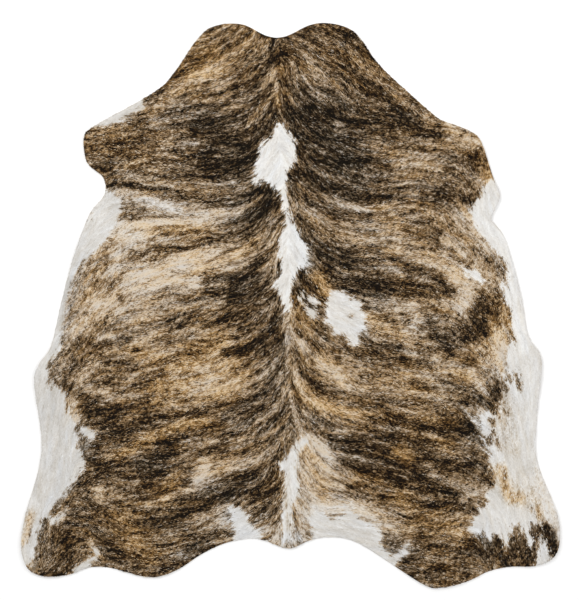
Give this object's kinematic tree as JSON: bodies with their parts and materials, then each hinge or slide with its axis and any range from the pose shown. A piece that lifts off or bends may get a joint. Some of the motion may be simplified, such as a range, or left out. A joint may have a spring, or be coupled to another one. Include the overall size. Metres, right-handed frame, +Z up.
{
  "type": "cowhide rug",
  "caption": "Hair-on brindle cowhide rug with the animal's own outline: neck lobes, foreleg and hind leg flaps and a white belly edge, lying flat.",
  "frame": {"origin": "under the middle of the hide's box, on the floor", "axes": "+Y from the tail to the neck, +Z up out of the floor through the coat, +X to the right as seen from above with the neck ahead"},
  "size_m": [2.0018, 2.1, 0.013],
  "materials": {
    "coat": "short glossy hair, brindle brown and black with white belly edges and backbone patches",
    "skin": "pale suede flesh side and raw cut edge"
  },
  "bodies": {
    "root": {"hide": "coat"}
  },
  "joints": []
}
